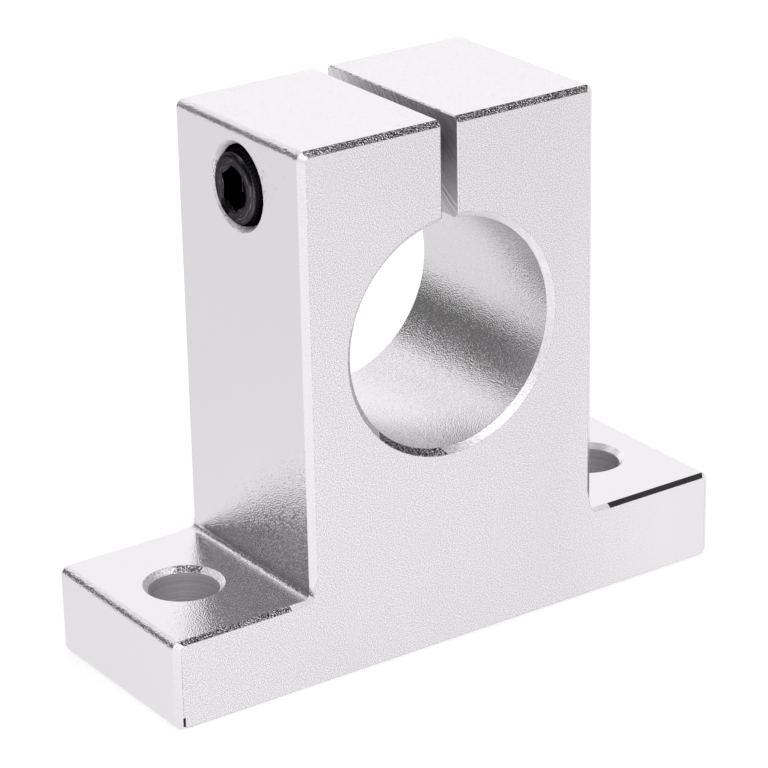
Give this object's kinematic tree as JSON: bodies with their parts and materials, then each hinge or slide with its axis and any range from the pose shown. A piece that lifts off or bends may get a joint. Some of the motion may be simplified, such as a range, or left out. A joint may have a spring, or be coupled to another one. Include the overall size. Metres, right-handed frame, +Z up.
{
  "type": "shaft support block",
  "caption": "Upright block with a flanged base that holds the end of a round shaft in a split bore, clamped by a socket head cap screw.",
  "frame": {"origin": "middle of the base's underside, straight below the shaft's axis", "axes": "+X along the base, away from the clamp screw's head; +Y along the shaft's axis; +Z up, from the base to the slit"},
  "size_m": [0.084, 0.028, 0.07],
  "materials": {
    "satin_aluminium": "fine blasted satin, clear anodised, with smoother drawn sides",
    "black_oxide_steel": "black oxide with a light film of oil"
  },
  "bodies": {
    "block": {"support_block": "satin_aluminium"},
    "screw": {"clamp_screw": "black_oxide_steel"}
  },
  "joints": [
    {"name": "clamp_screw_turn", "type": "hinge", "parent": "block", "child": "screw", "pos_m": [-0.02275, -0.00015, 0.06215], "axis": [1, 0, 0], "range_deg": [-450, 90]}
  ]
}
